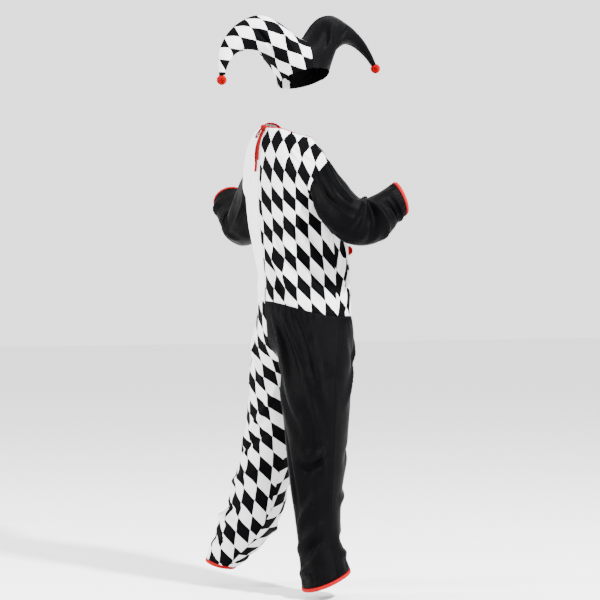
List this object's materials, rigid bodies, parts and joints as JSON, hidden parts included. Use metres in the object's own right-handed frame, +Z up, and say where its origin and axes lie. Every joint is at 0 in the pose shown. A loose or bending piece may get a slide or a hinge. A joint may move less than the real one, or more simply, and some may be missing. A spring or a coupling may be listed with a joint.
{
  "type": "jester costume",
  "caption": "Loose one-piece jester suit with harlequin check, black and white panels and red bindings, worn open and empty, with its two-horned pompom hat above.",
  "frame": {"origin": "centre of the neck opening, where the wearer's neck holds the suit up", "axes": "+Z up along the worn suit, -Y where the wearer's chest faces, +X to the wearer's left"},
  "size_m": [0.9781, 0.619, 1.95],
  "materials": {
    "black_cloth": "soft knit",
    "white_cloth": "soft knit",
    "check_cloth": "soft knit printed with a black and white diamond check",
    "red_binding": "ribbed knit",
    "red_ribbon": "satin",
    "red_yarn": "fluffy yarn"
  },
  "bodies": {
    "root": {"torso_back_right": "check_cloth", "torso_back_left": "white_cloth", "torso_front_right": "check_cloth", "torso_front_left": "white_cloth", "leg_right_back": "black_cloth", "leg_right_front": "black_cloth", "leg_left_back": "check_cloth", "leg_left_front": "check_cloth", "sleeve_right": "black_cloth", "sleeve_left": "black_cloth", "hat_right_back": "check_cloth", "hat_right_front": "check_cloth", "hat_left_back": "black_cloth", "hat_left_front": "black_cloth", "neck_binding": "red_binding", "cuff_binding_right": "red_binding", "cuff_binding_left": "red_binding", "hem_binding_right": "red_binding", "hem_binding_left": "red_binding", "tie_knot": "red_ribbon", "tie_loop": "red_ribbon", "tie_tail_long": "red_ribbon", "tie_tail_short": "red_ribbon", "front_pompom": "red_yarn", "hat_pompom_right": "red_yarn", "hat_pompom_left": "red_yarn"}
  },
  "joints": []
}
